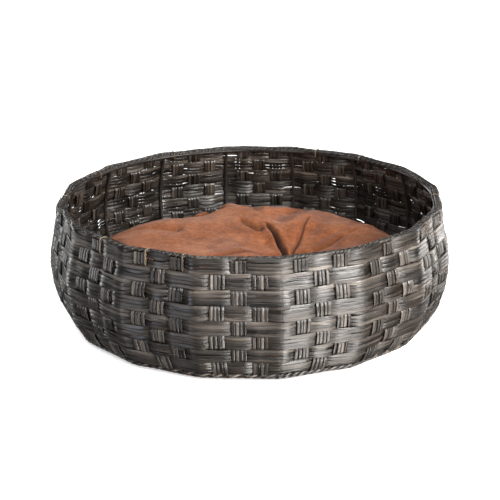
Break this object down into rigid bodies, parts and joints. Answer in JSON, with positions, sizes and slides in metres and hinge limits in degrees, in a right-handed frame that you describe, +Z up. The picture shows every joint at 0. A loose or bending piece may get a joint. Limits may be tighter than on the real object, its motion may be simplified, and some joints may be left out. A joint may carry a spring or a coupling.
{
  "type": "wicker pet bed basket",
  "caption": "Round, bellied pet bed basket of woven strand bundles on a wire frame, with a low rim and a loose tufted cushion inside.",
  "frame": {"origin": "on the floor under the basket's centre", "axes": "+Z up through the basket's mouth, -Y towards the front rib, +X to the right seen from the front"},
  "size_m": [0.493, 0.493, 0.1532],
  "materials": {
    "wicker": "satin",
    "lashing": "satin",
    "wire": "satin",
    "cushion_fabric": "matte",
    "filling": "matte",
    "thread": "matte"
  },
  "bodies": {
    "basket": {"top_ring": "wire", "bottom_ring": "wire", "rib_01": "wire", "rib_02": "wire", "rib_03": "wire", "rib_04": "wire", "rib_05": "wire", "rib_06": "wire", "rib_07": "wire", "rib_08": "wire", "rib_09": "wire", "rib_10": "wire", "rib_11": "wire", "rib_12": "wire", "rib_13": "wire", "rib_14": "wire", "rib_15": "wire", "rib_16": "wire", "base_wire_1": "wire", "base_wire_2": "wire", "base_wire_3": "wire", "weaver_row_1": "wicker", "weaver_row_2": "wicker", "weaver_row_3": "wicker", "weaver_row_4": "wicker", "weaver_row_5": "wicker", "weaver_row_6": "wicker", "weaver_row_7": "wicker", "weaver_row_8": "wicker", "stakes_panel_01": "wicker", "stakes_panel_02": "wicker", "stakes_panel_03": "wicker", "stakes_panel_04": "wicker", "stakes_panel_05": "wicker", "stakes_panel_06": "wicker", "stakes_panel_07": "wicker", "stakes_panel_08": "wicker", "stakes_panel_09": "wicker", "stakes_panel_10": "wicker", "stakes_panel_11": "wicker", "stakes_panel_12": "wicker", "stakes_panel_13": "wicker", "stakes_panel_14": "wicker", "stakes_panel_15": "wicker", "stakes_panel_16": "wicker", "rim_cap": "wicker", "bottom_binding": "wicker", "base_weave_lengthwise": "wicker", "base_weave_crosswise": "wicker", "rim_lashing": "lashing"},
    "cushion": {"cushion_cover_top": "cushion_fabric", "cushion_cover_bottom": "cushion_fabric", "cushion_filling": "filling", "cushion_tuft_thread": "thread"}
  },
  "joints": [
    {"name": "cushion_lift", "type": "slide", "parent": "basket", "child": "cushion", "axis": [0, 0, 1], "range_m": [0, 0.22]}
  ]
}
